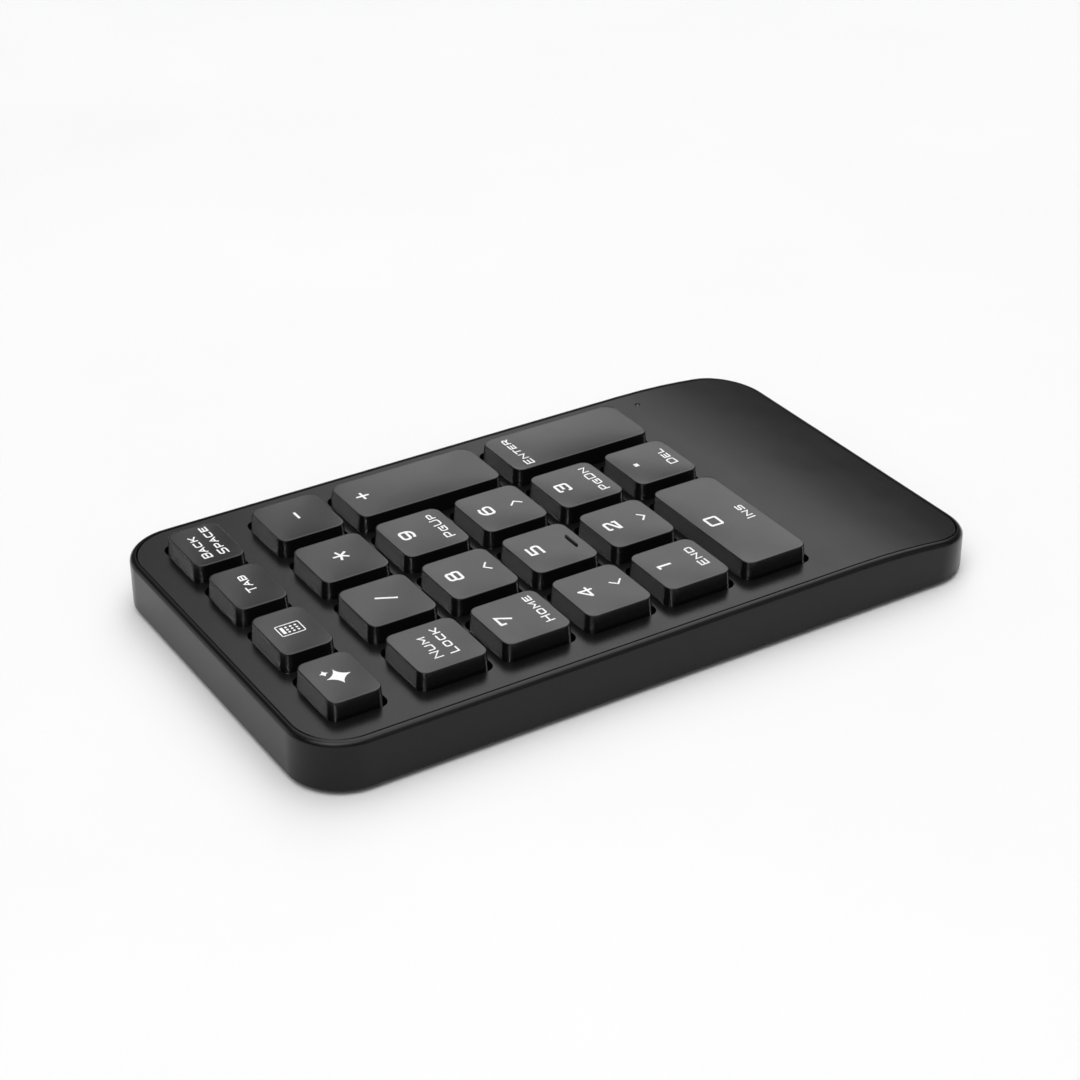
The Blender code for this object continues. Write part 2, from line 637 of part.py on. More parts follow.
# ---- battery door: turns about its own centre ------------------------------------------------
door = bmesh.new()
n = 32
loft(
    door,
    [
        at_z(circle(0, 0, DOOR_D - 0.4 * MM, n), 0.0),
        at_z(circle(0, 0, DOOR_D, n), 0.2 * MM),
        at_z(circle(0, 0, DOOR_D, n), 2.7 * MM),
        at_z(circle(0, 0, 21.0 * MM, n), 2.7 * MM),
        at_z(circle(0, 0, 21.0 * MM, n), 1.2 * MM),
    ],
)
battery_door = mesh_object("battery_door", door, "case")
tabs = bmesh.new()
for sx in (-1, 1):
    a, b = sorted((sx * 11.6 * MM, sx * 14.6 * MM))
    add_box(tabs, a, b, -2.0 * MM, 2.0 * MM, 1.85 * MM, 2.6 * MM)
combine(battery_door, helper(tabs), "UNION")
groove = bmesh.new()
slot = rounded(7.0 * MM, 0.9 * MM, 0.85 * MM, 3)
loft(groove, [at_z(slot, -0.5 * MM), at_z(slot, 0.6 * MM)])
combine(battery_door, helper(groove), "DIFFERENCE")
battery_door.location = (CELL_X, CELL_Y, FOOT_H)

# ---- power switch: slides along X -------------------------------------------------------------
knob = bmesh.new()
add_box(knob, -3.1 * MM, 0.1 * MM, -1.5 * MM, 1.5 * MM, 0.15 * MM, 2.2 * MM)
power_switch = mesh_object("power_switch", knob, "case", smooth=False)
flange = bmesh.new()
add_box(flange, -6.7 * MM, 3.7 * MM, -2.7 * MM, 2.7 * MM, 1.85 * MM, 2.6 * MM)
combine(power_switch, helper(flange), "UNION")
ribs = bmesh.new()
for k in range(3):
    x = (-2.5 + k * 0.9) * MM
    add_box(ribs, x - 0.15 * MM, x + 0.15 * MM, -1.7 * MM, 1.7 * MM, 0.0, 0.4 * MM)
combine(power_switch, helper(ribs), "DIFFERENCE")
power_switch.location = (SWITCH_X, SWITCH_Y, FOOT_H)
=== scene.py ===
"""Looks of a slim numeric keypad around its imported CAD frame: moulded plastics, printed legends, rubber
domes and a plain studio. Lengths are metres, in the CAD's frame: +X right, +Y to the rear, +Z up."""

import json
import math

import bmesh
import bpy
from mathutils import Matrix, Vector

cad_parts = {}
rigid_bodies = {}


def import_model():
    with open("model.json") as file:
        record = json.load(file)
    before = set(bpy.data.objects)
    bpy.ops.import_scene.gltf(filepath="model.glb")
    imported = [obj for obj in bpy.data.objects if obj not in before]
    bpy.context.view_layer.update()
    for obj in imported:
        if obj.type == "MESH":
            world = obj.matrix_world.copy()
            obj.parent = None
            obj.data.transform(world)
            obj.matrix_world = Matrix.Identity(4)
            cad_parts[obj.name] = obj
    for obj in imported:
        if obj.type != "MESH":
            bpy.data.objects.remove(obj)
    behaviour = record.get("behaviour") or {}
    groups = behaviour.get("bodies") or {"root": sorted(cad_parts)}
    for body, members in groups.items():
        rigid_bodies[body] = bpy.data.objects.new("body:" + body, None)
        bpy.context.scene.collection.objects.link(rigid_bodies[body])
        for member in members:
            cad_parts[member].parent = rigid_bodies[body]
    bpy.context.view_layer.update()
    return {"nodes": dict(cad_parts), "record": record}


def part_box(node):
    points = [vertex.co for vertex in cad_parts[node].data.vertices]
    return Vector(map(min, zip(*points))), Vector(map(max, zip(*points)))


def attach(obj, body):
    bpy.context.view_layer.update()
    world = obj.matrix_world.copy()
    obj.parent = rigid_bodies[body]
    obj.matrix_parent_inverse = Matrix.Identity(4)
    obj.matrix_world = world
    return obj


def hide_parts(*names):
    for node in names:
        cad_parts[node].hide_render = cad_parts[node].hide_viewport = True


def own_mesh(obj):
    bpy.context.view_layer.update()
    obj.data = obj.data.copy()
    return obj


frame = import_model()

MM = 0.001
TINY = 1e-7  # metres; anything shorter counts as nothing
NODES = frame["nodes"]
SCENE = bpy.context.scene

# ---- driving values ---------------------------------------------------------------------------
CAMERA_AIM = Vector((-1.7, 3.8, 12.0)) * MM
CAMERA_DISTANCE = 510.7 * MM
CAMERA_HEADING = math.radians(121.71)  # of the view, clockwise from +Y as seen from above
CAMERA_DROP = math.radians(30.45)
CAMERA_ROLL = math.radians(-0.30)
CAMERA_SENSOR = 36.0  # mm
CAMERA_LENS = 83.56  # mm
CAMERA_NEAR = 0.01

CASE_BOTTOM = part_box("bottom_case")[0].z
KEY_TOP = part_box("key_7")[1].z
KEY_FLARE = 0.56 * MM  # how far a key's skirt stands out beyond its flat top
KEY_SKIRT = 4.14 * MM  # from the key top down to the end of its skirt
KEY_WALL = 1.1 * MM
KEY_TOP_THICK = 1.44 * MM
KEY_CORNER = 1.9 * MM
KEY_FILLET = 0.2 * MM
FILLET_STEPS = 5
KEY_DRAFT = math.radians(5.5)
SKIRT_BEVEL = 0.12 * MM  # at the skirt's lower edge
SKIRT_INSET = 0.03 * MM  # of the skirt where that bevel begins
CEILING_OUT = 0.24 * MM - KEY_WALL  # from the top's outline to the hollow's upper edge
DISH = 0.155 * MM  # how deep a key top is hollowed
DISH_RINGS = (0.05, 0.16, 0.28, 0.4, 0.52, 0.64, 0.75, 0.85, 0.92, 0.97)  # shares of the top's half width
STEM_RADIUS = 2.1 * MM
STEM_END = CASE_BOTTOM + 6.2 * MM
STEM_BEVEL = 0.2 * MM
STEM_TIP = 0.9  # of the stem's radius

HOOK_ALONG = 11.0 * MM  # from a long key's centre to the middle of a hook
HOOK_ACROSS = (0.38 * MM, 3.38 * MM)
HOOK_HALF_LENGTH = 0.5 * MM
HOOK_HALF_THICK = 0.4 * MM
HOOK_END = CASE_BOTTOM + 9.9 * MM
HOOK_ROOT = 0.3 * MM  # how far a hook goes up into the key

BAR_HALF_LENGTH = 2.25 * MM  # the homing bar on the 5
BAR_HALF_WIDTH = 0.24 * MM
BAR_CORNER = 0.23 * MM
BAR_DOWN = 5.2 * MM  # from the key's centre towards the user

MAT_TOP = CASE_BOTTOM + 3.6 * MM

INK_PROUD = 0.012 * MM
INK_DEPTH = 0.02 * MM
INK_STEP = 0.002 * MM  # strokes of one legend lie this much above each other where they cross
DIGIT_LINE = 0.57 * MM
DIGIT_HEIGHT = 3.3 * MM
LETTER_LINE = 0.34 * MM
LARGE_LETTER = 2.05 * MM
SMALL_LETTER = 1.65 * MM
LETTER_GAP = 0.55 * MM
LARGE_WIDER = 1.12
DIGIT_BASE = 1.45  # mm; the digits' usual base line, from the key's centre
MITRE_LIMIT = 0.6

CALCULATOR_CENTRE = (0.71 * MM, 0.03 * MM)
CALCULATOR_HALF = (1.85 * MM, 2.46 * MM)
CALCULATOR_CORNER = 0.32 * MM
CALCULATOR_LINE = 0.23 * MM
DISPLAY_HALF = 1.15 * MM
DISPLAY_UP = 1.52 * MM
DISPLAY_LINE = 0.66 * MM
BUTTON_RADIUS = 0.27 * MM
BUTTON_PITCH = (0.87 * MM, 1.0 * MM)
BUTTONS_DOWN = 0.44  # of a pitch, from the mark's centre to the middle row

SMOOTH_ANGLE = math.radians(38)
WELD = 0.5e-6  # metres
FACE_WEIGHT = 100  # of large faces over small ones in the smoothed normals

OVERHEAD_HEIGHT = 3.0
OVERHEAD_CENTRE = (0.45, -0.46)  # shares of the height
OVERHEAD_LAYERS = (  # length and width as shares of the height, and radiance
    (3.2, 1.5, 0.35),
    (3.2, 1.1, 0.4),
    (2.75, 0.9, 0.85),
    (2.3, 0.7, 0.65),
)
OVERHEAD_STEP = 0.01  # metres from one layer up to the next
OVERHEAD_TURN = -37.0
SOFTBOXES = (  # name, compass heading, elevation, distance, width, depth and radiance
    ("fill", 335, 58, 3.0, 2.4, 2.0, 2.1),
    ("back", 310, 24, 3.2, 3.0, 1.4, 0.5),
    ("left", 237, 28, 3.0, 2.4, 1.8, 0.4),
    ("right", 50, 10, 3.0, 2.2, 1.6, 0.85),
)
BOUNCE_ELEVATION = -24
BOUNCE_DISTANCE = 2.0
BOUNCE_DEPTH = 0.8
BOUNCE = (  # name, compass heading, width and radiance
    ("bounce_right", 56, 0.7, 0.48),
    ("bounce_rear", -41, 0.5, 1.6),
    ("bounce_left", 188, 0.45, 0.9),
)
WORLD_STRENGTH = 0.1
FLOOR_HALF = 2.5
FLOOR_CELLS = 8


# ---- node-tree helpers ------------------------------------------------------------------------
def add_node(tree, kind, **settings):
    """A node with attributes and, for names that are sockets, input values."""
    node = tree.nodes.new(kind)
    for name, value in settings.items():
        key = name.replace("_", " ")
        if hasattr(node, name):
            setattr(node, name, value)
        elif key in node.inputs:
            node.inputs[key].default_value = value
        else:
            raise KeyError(f"{kind} has no {name}")
    return node


def remap(tree, value, low, high, to_low, to_high):
    """The value, spread from one range to another and clamped to it."""
    node = add_node(tree, "ShaderNodeMapRange", clamp=True)
    for name, number in zip(("From Min", "From Max", "To Min", "To Max"), (low, high, to_low, to_high)):
        node.inputs[name].default_value = number
    tree.links.new(value, node.inputs["Value"])
    return node.outputs["Result"]


DRIFT_SPAN = (0.3, 0.7)  # of the slow noise, which the colours are spread over
GRAIN_SHARE = 0.5  # of the fine noise, added to the slow noise to vary the roughness
SPECKLE_SPAN = (0.55, 0.95)  # of that sum, which the roughness is spread over
STEEP_SPAN = (0.3, 0.8)  # of the normal's Z, from upright faces to level ones


def surface(name, dark, light, rough, patch, grain, bump, metallic=0.0, ior=1.42, steep=None):
    """A Principled material. Its colour drifts from dark to light and its roughness over the range rough, in
    patches; fine grain lifts the surface by bump. Patch, grain and bump are sizes in mm. Where it is given,
    steep is the roughness of faces that stand upright."""
    material = bpy.data.materials.new(name)
    material.use_nodes = True
    tree = material.node_tree
    shader = tree.nodes["Principled BSDF"]
    shader.inputs["Metallic"].default_value = metallic
    shader.inputs["IOR"].default_value = ior
    place = tree.nodes.new("ShaderNodeTexCoord").outputs["Object"]

    drift = add_node(tree, "ShaderNodeTexNoise", Scale=1 / (patch * MM), Detail=3.0, Roughness=0.6)
    tree.links.new(place, drift.inputs["Vector"])
    fine = add_node(tree, "ShaderNodeTexNoise", Scale=1 / (grain * MM), Detail=2.0, Roughness=0.55)
    tree.links.new(place, fine.inputs["Vector"])

    mix = add_node(tree, "ShaderNodeMix", data_type="RGBA")
    mix.inputs["A"].default_value = (*dark, 1.0)
    mix.inputs["B"].default_value = (*light, 1.0)
    tree.links.new(remap(tree, drift.outputs["Fac"], *DRIFT_SPAN, 0.0, 1.0), mix.inputs["Factor"])
    tree.links.new(mix.outputs["Result"], shader.inputs["Base Color"])

    speckle = add_node(tree, "ShaderNodeMath", operation="MULTIPLY_ADD")
    tree.links.new(fine.outputs["Fac"], speckle.inputs[0])
    speckle.inputs[1].default_value = GRAIN_SHARE
    tree.links.new(drift.outputs["Fac"], speckle.inputs[2])
    roughness = remap(tree, speckle.outputs[0], *SPECKLE_SPAN, *rough)
    if steep is not None:
        parts = tree.nodes.new("ShaderNodeSeparateXYZ")
        tree.links.new(tree.nodes.new("ShaderNodeNewGeometry").outputs["Normal"], parts.inputs[0])
        blend = add_node(tree, "ShaderNodeMix", data_type="FLOAT")
        blend.inputs["A"].default_value = steep
        tree.links.new(remap(tree, parts.outputs["Z"], *STEEP_SPAN, 0.0, 1.0), blend.inputs["Factor"])
        tree.links.new(roughness, blend.inputs["B"])
        roughness = blend.outputs["Result"]
    tree.links.new(roughness, shader.inputs["Roughness"])

    relief = add_node(tree, "ShaderNodeBump", Strength=1.0, Distance=bump * MM)
    tree.links.new(fine.outputs["Fac"], relief.inputs["Height"])
    tree.links.new(relief.outputs["Normal"], shader.inputs["Normal"])
    return material


# ---- materials --------------------------------------------------------------------------------
def grey(value, tint=0.0):
    """A grey whose blue is raised by the share tint."""
    return (value, value, value * (1 + tint))


METAL = {"metallic": 1.0}
LOOKS = {  # dark and light colour, range of roughness, sizes of patches, grain and bump, and the rest
    "case_plastic": (grey(0.003, 0.04), grey(0.004, 0.04), (0.22, 0.27), 11, 0.16, 0.006, {"ior": 1.33}),
    "key_plastic": (grey(0.0036, 0.03), grey(0.0046, 0.03), (0.13, 0.17), 7, 0.15, 0.005, {"steep": 0.24}),
    "switch_plastic": (grey(0.016), grey(0.02), (0.4, 0.5), 4, 0.15, 0.006, {}),
    "frame_plastic": (grey(0.012), grey(0.018), (0.45, 0.6), 8, 0.3, 0.01, {}),
    "dome_silicone": ((0.62, 0.62, 0.58), (0.72, 0.72, 0.68), (0.45, 0.6), 5, 0.2, 0.006, {}),
    "membrane_film": ((0.36, 0.46, 0.42), (0.42, 0.52, 0.47), (0.12, 0.25), 9, 0.4, 0.002, {}),
    "plate_steel": (grey(0.5, 0.02), grey(0.6, 0.02), (0.28, 0.45), 6, 0.25, 0.004, METAL),
    "board_laminate": ((0.008, 0.07, 0.03), (0.012, 0.1, 0.045), (0.3, 0.42), 3, 0.3, 0.01, {}),
    "pipe_acrylic": (grey(0.1), grey(0.14), (0.1, 0.2), 2, 0.2, 0.002, {}),
    "cell_steel": (grey(0.56, 0.02), grey(0.66, 0.02), (0.18, 0.3), 4, 0.2, 0.003, METAL),
    "contact_brass": ((0.62, 0.44, 0.18), (0.72, 0.53, 0.24), (0.2, 0.34), 3, 0.2, 0.003, METAL),
    "foot_rubber": (grey(0.012), grey(0.018), (0.7, 0.85), 4, 0.12, 0.012, {}),
    "screw_steel": (grey(0.035), grey(0.05), (0.32, 0.45), 1, 0.12, 0.004, METAL),
    "wire_steel": (grey(0.5, 0.02), grey(0.58, 0.02), (0.2, 0.32), 2, 0.12, 0.002, METAL),
}
MATERIALS = {name: surface(name, *look, **more) for name, (*look, more) in LOOKS.items()}
INK = surface("legend_ink", grey(0.78), grey(0.84), (0.45, 0.6), 2, 0.08, 0.002)


def smoothing():
    """Welds the triangles' shared corners and shades smooth, but not across edges over SMOOTH_ANGLE."""
    tree = bpy.data.node_groups.new("smooth_by_angle", "GeometryNodeTree")
    tree.interface.new_socket("Geometry", in_out="INPUT", socket_type="NodeSocketGeometry")
    tree.interface.new_socket("Geometry", in_out="OUTPUT", socket_type="NodeSocketGeometry")
    source = tree.nodes.new("NodeGroupInput").outputs[0]
    plain = tree.nodes.new("GeometryNodeRemoveAttribute")
    plain.inputs["Name"].default_value = "custom_normal"
    weld = tree.nodes.new("GeometryNodeMergeByDistance")
    weld.inputs["Distance"].default_value = WELD
    sharp = tree.nodes.new("FunctionNodeCompare")
    sharp.data_type = "FLOAT"
    sharp.operation = "GREATER_THAN"
    sharp.inputs["B"].default_value = SMOOTH_ANGLE
    faces = tree.nodes.new("GeometryNodeSetShadeSmooth")
    faces.domain = "FACE"
    edges = tree.nodes.new("GeometryNodeSetShadeSmooth")
    edges.domain = "EDGE"
    edges.inputs["Shade Smooth"].default_value = False
    angle = tree.nodes.new("GeometryNodeInputMeshEdgeAngle")
    end = tree.nodes.new("NodeGroupOutput")
    tree.links.new(source, plain.inputs["Geometry"])
    tree.links.new(plain.outputs["Geometry"], weld.inputs["Geometry"])
    tree.links.new(weld.outputs["Geometry"], faces.inputs["Geometry"])
    tree.links.new(faces.outputs["Geometry"], edges.inputs["Geometry"])
    tree.links.new(angle.outputs["Unsigned Angle"], sharp.inputs["A"])
    tree.links.new(sharp.outputs["Result"], edges.inputs["Selection"])
    tree.links.new(edges.outputs["Geometry"], end.inputs[0])
    return tree


SMOOTHING = smoothing()
for part in frame["record"]["subparts"]:
    node = NODES[part["node"]]
    for place in node.material_slots:
        place.material = MATERIALS[part["material_slot"]]
    node.modifiers.new("smooth", "NODES").node_group = SMOOTHING
    even = node.modifiers.new("even", "WEIGHTED_NORMAL")
    even.keep_sharp = True
    even.weight = FACE_WEIGHT


def piece(name, bm, material, body, stands_for=()):
    """A finished object that rides on a body and, where it is one, stands for CAD nodes."""
    bmesh.ops.recalc_face_normals(bm, faces=bm.faces)
    mesh = bpy.data.meshes.new(name)
    bm.to_mesh(mesh)
    bm.free()
    mesh.materials.append(material)
    mesh.shade_smooth()
    mesh.set_sharp_from_angle(angle=SMOOTH_ANGLE)
    obj = bpy.data.objects.new(name, mesh)
    SCENE.collection.objects.link(obj)
    even = obj.modifiers.new("even", "WEIGHTED_NORMAL")
    even.keep_sharp = True
    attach(obj, body)
    if stands_for:
        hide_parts(*stands_for)
    return obj


# ---- printed legends --------------------------------------------------------------------------
# A glyph is a list of strokes in a box one unit wide and high. A stroke is a list of corners, each
# (x, y) or (x, y, r) with a rounding radius; a stroke that ends where it starts is a closed loop.
R = 0.28
GLYPHS = {
    "A": [[(0, 0), (0.5, 1), (1, 0)], [(0.22, 0.34), (0.78, 0.34)]],
    "B": [[(0, 0), (0, 1), (1, 1, R), (1, 0, R), (0, 0)], [(0, 0.52), (1, 0.52)]],
    "C": [[(1, 1), (0, 1, R), (0, 0, R), (1, 0)]],
    "D": [[(0, 0), (0, 1), (1, 1, R), (1, 0, R), (0, 0)]],
    "E": [[(1, 1), (0, 1), (0, 0), (1, 0)], [(0, 0.52), (0.86, 0.52)]],
    "G": [[(1, 1), (0, 1, R), (0, 0, R), (1, 0), (1, 0.5), (0.55, 0.5)]],
    "H": [[(0, 0), (0, 1)], [(1, 0), (1, 1)], [(0, 0.52), (1, 0.52)]],
    "I": [[(0.5, 0), (0.5, 1)]],
    "K": [[(0, 0), (0, 1)], [(1, 1), (0.3, 0.52), (1, 0)], [(0, 0.52), (0.3, 0.52)]],
    "L": [[(0, 1), (0, 0), (1, 0)]],
    "M": [[(0, 0), (0, 1), (0.5, 0.25), (1, 1), (1, 0)]],
    "N": [[(0, 0), (0, 1), (1, 0), (1, 1)]],
    "O": [[(0, 0.5), (0, 1, R), (1, 1, R), (1, 0, R), (0, 0, R), (0, 0.5)]],
    "P": [[(0, 0), (0, 1), (1, 1, R), (1, 0.4, R), (0, 0.4)]],
    "R": [[(0, 0), (0, 1), (1, 1, R), (1, 0.4, R), (0, 0.4)], [(0.6, 0.4), (1, 0)]],
    "S": [[(1, 1), (0, 1, 0.22), (0, 0.5, 0.22), (1, 0.5, 0.22), (1, 0, 0.22), (0, 0)]],
    "T": [[(0, 1), (1, 1)], [(0.5, 1), (0.5, 0)]],
    "U": [[(0, 1), (0, 0, R), (1, 0, R), (1, 1)]],
    "0": [[(0, 0.5), (0, 1, 0.1), (1, 1, 0.1), (1, 0, 0.1), (0, 0, 0.1), (0, 0.5)]],
    "1": [[(0.1, 1), (0.65, 1), (0.65, 0)]],
    "2": [[(0.05, 0.8), (0.05, 1, 0.08), (1, 1, 0.15), (1, 0.6, 0.12), (0, 0.14, 0.05), (0, 0), (1, 0),
           (1, 0.18)]],
    "3": [[(0, 0.84), (0, 1, 0.06), (1, 1, 0.15), (1, 0, 0.15), (0, 0, 0.06), (0, 0.16)],
          [(0.35, 0.52), (0.95, 0.52)]],
    "4": [[(0.74, 0.98), (0, 0.3, 0.03), (1, 0.3)], [(0.74, 0.98), (0.74, 0)]],
    "5": [[(0.88, 1), (0.03, 1), (0, 0.57), (1, 0.57, 0.22), (1, 0, 0.22), (0, 0)]],
    "6": [[(0.84, 0.93), (0.6, 1, 0.1), (0, 1, 0.45), (0, 0, 0.24), (1, 0, 0.24), (1, 0.58, 0.24),
           (0.03, 0.58)]],
    "7": [[(0, 0.68), (0, 1), (1, 1), (0.45, 0)]],
    "8": [[(0.5, 0.53), (0, 0.53, 0.17), (0, 0, 0.17), (1, 0, 0.17), (1, 0.53, 0.17), (0.5, 0.53)],
          [(0.5, 0.53), (0.06, 0.53, 0.17), (0.06, 1, 0.17), (0.94, 1, 0.17), (0.94, 0.53, 0.17),
           (0.5, 0.53)]],
    "9": [[(0.16, 0.07), (0.4, 0, 0.1), (1, 0, 0.45), (1, 1, 0.24), (0, 1, 0.24), (0, 0.42, 0.24),
           (0.97, 0.42)]],
    ".": [[(0, 0.5), (1, 0.5)]],
    "/": [[(0, 0), (1, 1)]],
    "*": [[(0.5, 0.5), (0.5 + 0.5 * math.sin(math.radians(a)), 0.5 + 0.5 * math.cos(math.radians(a)))]
          for a in range(0, 360, 72)],
    "-": [[(0, 0.5), (1, 0.5)]],
    "+": [[(0, 0.5), (1, 0.5)], [(0.5, 0), (0.5, 1)]],
    "^": [[(0, 0), (0.5, 1), (1, 0)]],
    "v": [[(0, 1), (0.5, 0), (1, 1)]],
    "<": [[(1, 0), (0, 0.5), (1, 1)]],
    ">": [[(0, 0), (1, 0.5), (0, 1)]],
}
# Width of a small capital and how far it moves in on its neighbours, in mm.
LETTERS = {
    "A": (2.15, 0.25), "B": (1.85, 0), "C": (1.95, 0), "E": (1.8, 0), "H": (2.05, 0), "I": (0.42, 0),
    "K": (1.85, 0), "L": (1.65, 0), "M": (2.3, 0), "N": (2.1, 0), "P": (1.9, 0), "S": (1.95, 0),
    "T": (1.95, 0.12),
}
OTHER_LETTER = (2.05, 0.0)
# Widths in mm of the lines of those marks that aren't drawn as a digit is.
MARK_LINES = {
    "+": 0.52, "-": 0.55, "/": 0.52, "*": 0.5, ".": 1.05, "^": 0.37, "v": 0.37, "<": 0.37, ">": 0.37,
    "4": 0.5,
}


STRAIGHT = math.radians(89)  # half the angle between strokes above which their corner isn't rounded


def rounded_corner(before, corner, after, radius, steps=4):
    """Points of the arc of this radius that replaces a corner."""
    u = (before - corner).normalized()
    v = (after - corner).normalized()
    half = u.angle(v) / 2
    if radius <= 0 or half > STRAIGHT:
        return [corner]
    cut = radius / math.tan(half)
    start, end = corner + u * cut, corner + v * cut
    centre = corner + (u + v).normalized() * (radius / math.sin(half))
    a, b = start - centre, end - centre
    sweep = a.angle_signed(b)
    points = []
    for i in range(steps + 1):
        turn = -sweep * i / steps
        c, s = math.cos(turn), math.sin(turn)
        points.append(centre + Vector((a.x * c - a.y * s, a.x * s + a.y * c)))
    return points


def stroke(bm, corners, width, lift, key):
    """A ribbon of ink along 2D corners, each (x, y, rounding), mitred where it turns and laid on the key."""
    closed = (Vector(corners[0][:2]) - Vector(corners[-1][:2])).length < TINY
    if closed:
        corners = corners[:-1]
    flat = [Vector(c[:2]) for c in corners]
    line = []
    n = len(flat)
    for i, c in enumerate(corners):
        if closed or 0 < i < n - 1:
            line += rounded_corner(flat[i - 1], flat[i], flat[(i + 1) % n], c[2])
        else:
            line.append(flat[i])
    n = len(line)
    left, right = [], []
    for i, p in enumerate(line):
        into = (p - line[i - 1]).normalized() if closed or i else None
        out = (line[(i + 1) % n] - p).normalized() if closed or i < n - 1 else None
        into, out = into or out, out or into
        mean = (into + out).normalized()
        across = Vector((-mean.y, mean.x)) * (width / 2 / max(mean.dot(out), MITRE_LIMIT))
        left.append(p + across)
        right.append(p - across)
    loops = [
        [bm.verts.new(key.on_top(q.x, q.y, h)) for q in side]
        for side, h in ((left, lift), (right, lift), (right, -INK_DEPTH), (left, -INK_DEPTH))
    ]
    ends = n if closed else n - 1
    for a, b in zip(loops, loops[1:] + loops[:1]):
        for i in range(ends):
            j = (i + 1) % n
            bm.faces.new((a[i], b[i], b[j], a[j]))
    if not closed:
        bm.faces.new([loop[0] for loop in loops[::-1]])
        bm.faces.new([loop[-1] for loop in loops])


def glyph(bm, mark, x, y, width, height, line, key):
    """One glyph whose ink fills the box with its lower left corner at x, y from the key's centre."""
    w, h = width - line, height - line
    for i, corners in enumerate(GLYPHS[mark]):
        places = [
            [x + line / 2 + c[0] * w, y + line / 2 + c[1] * h, (c[2] if len(c) > 2 else 0.0) * min(w, h)]
            for c in corners
        ]
        if corners[0][:2] != corners[-1][:2]:
            for end, inner in ((0, 1), (-1, -2)):
                beyond = Vector(places[end][:2]) - Vector(places[inner][:2])
                beyond = beyond.normalized() * (line / 2)
                places[end][0] += beyond.x
                places[end][1] += beyond.y
        stroke(bm, places, line, INK_PROUD + i * INK_STEP, key)


def word(bm, text, x, y, key):
    """Capitals starting at x on base line y; a small letter stands for a small capital."""
    for letter in text:
        large = letter.isupper()
        width, tight = LETTERS.get(letter.upper(), OTHER_LETTER)
        width *= MM * (LARGE_WIDER if large and letter != "I" else 1)
        x -= tight * MM
        glyph(bm, letter.upper(), x, y, width, LARGE_LETTER if large else SMALL_LETTER, LETTER_LINE, key)
        x += width + LETTER_GAP - tight * MM


def plate_shape(bm, outline, key):
    """A filled patch of ink with this outline, from the key's centre."""
    top = [bm.verts.new(key.on_top(x, y, INK_PROUD)) for x, y in outline]
    low = [bm.verts.new(key.on_top(x, y, -INK_DEPTH)) for x, y in outline]
    bm.faces.new(top)
    bm.faces.new(low[::-1])
    for i in range(len(top)):
        j = (i + 1) % len(top)
        bm.faces.new((top[i], low[i], low[j], top[j]))


def sparkle(x, y, reach, waist):
    """A four-pointed star whose sides curve inwards."""
    points = []
    for i in range(4):
        tip = math.radians(90 * i)
        after = math.radians(90 * i + 90)
        a = Vector((math.cos(tip), math.sin(tip))) * reach
        b = Vector((math.cos(after), math.sin(after))) * reach
        middle = (a + b).normalized() * waist
        for t in (0, 0.2, 0.4, 0.6, 0.8):
            q = a * (1 - t) ** 2 + middle * 2 * t * (1 - t) + b * t * t
            points.append((x + q.x, y + q.y))
    return points


def digit(mark, x, width, y=DIGIT_BASE):
    return (mark, x, y, width, DIGIT_HEIGHT / MM)


# What each key says: words as (text, x, y) with x, y the lower left corner, and marks as
# (glyph, x, y, width, height), all in mm from the key's centre.
LEGENDS = {
    "tab": ([("Tab", -2.35, -1.2)], []),
    "backspace": ([("Back", -5.18, 0.7), ("Space", -5.22, -2.82)], []),
    "numlock": ([("Num", -4.02, 0.47), ("Lock", -4.02, -2.99)], []),
    "divide": ([], [("/", -0.3, -2.32, 2.3, 4.1)]),
    "multiply": ([], [("*", -0.98, -2.08, 3.5, 3.5)]),
    "minus": ([], [("-", -0.43, -0.53, 2.65, 0.55)]),
    "7": ([("Home", -4.28, -5.38)], [digit("7", -0.87, 3.25)]),
    "8": ([], [digit("8", -0.97, 3.4), ("^", -0.72, -4.9, 2.85, 1.45)]),
    "9": ([("PgUp", -4.52, -5.3)], [digit("9", -1.1, 3.4)]),
    "4": ([], [digit("4", -1.12, 3.7, 1.25), ("<", 0.06, -5.53, 1.6, 2.8)]),
    "5": ([], [digit("5", -0.95, 3.4, 1.4)]),
    "6": ([], [digit("6", -1.15, 3.4), (">", -0.25, -5.2, 1.55, 2.8)]),
    "1": ([("End", -2.88, -5.4)], [("1", 0.03, 1.35, 1.9, 3.25)]),
    "2": ([], [digit("2", -1.04, 3.3), ("v", -0.72, -4.98, 2.75, 1.45)]),
    "3": ([("PgDn", -4.78, -5.38)], [digit("3", -1.19, 3.25)]),
    "point": ([("Del", -3.12, -5.3)], [(".", -0.15, 2.64, 1.15, 1.05)]),
    "plus": ([], [("+", -0.78, 10.9, 2.85, 2.9)]),
    "enter": ([("Enter", -6.08, 11.3)], []),
    "0": ([("Ins", -2.2, -5.48)], [digit("0", -1.05, 3.6, 1.48)]),
}


def legend(name, key):
    """The key's words and marks as one piece."""
    words, marks = LEGENDS[name]
    bm = bmesh.new()
    for text, x, y in words:
        word(bm, text, x * MM, y * MM, key)
    for mark, x, y, width, height in marks:
        line = MARK_LINES.get(mark, DIGIT_LINE / MM)
        glyph(bm, mark, *(v * MM for v in (x, y, width, height, line)), key)
    return bm


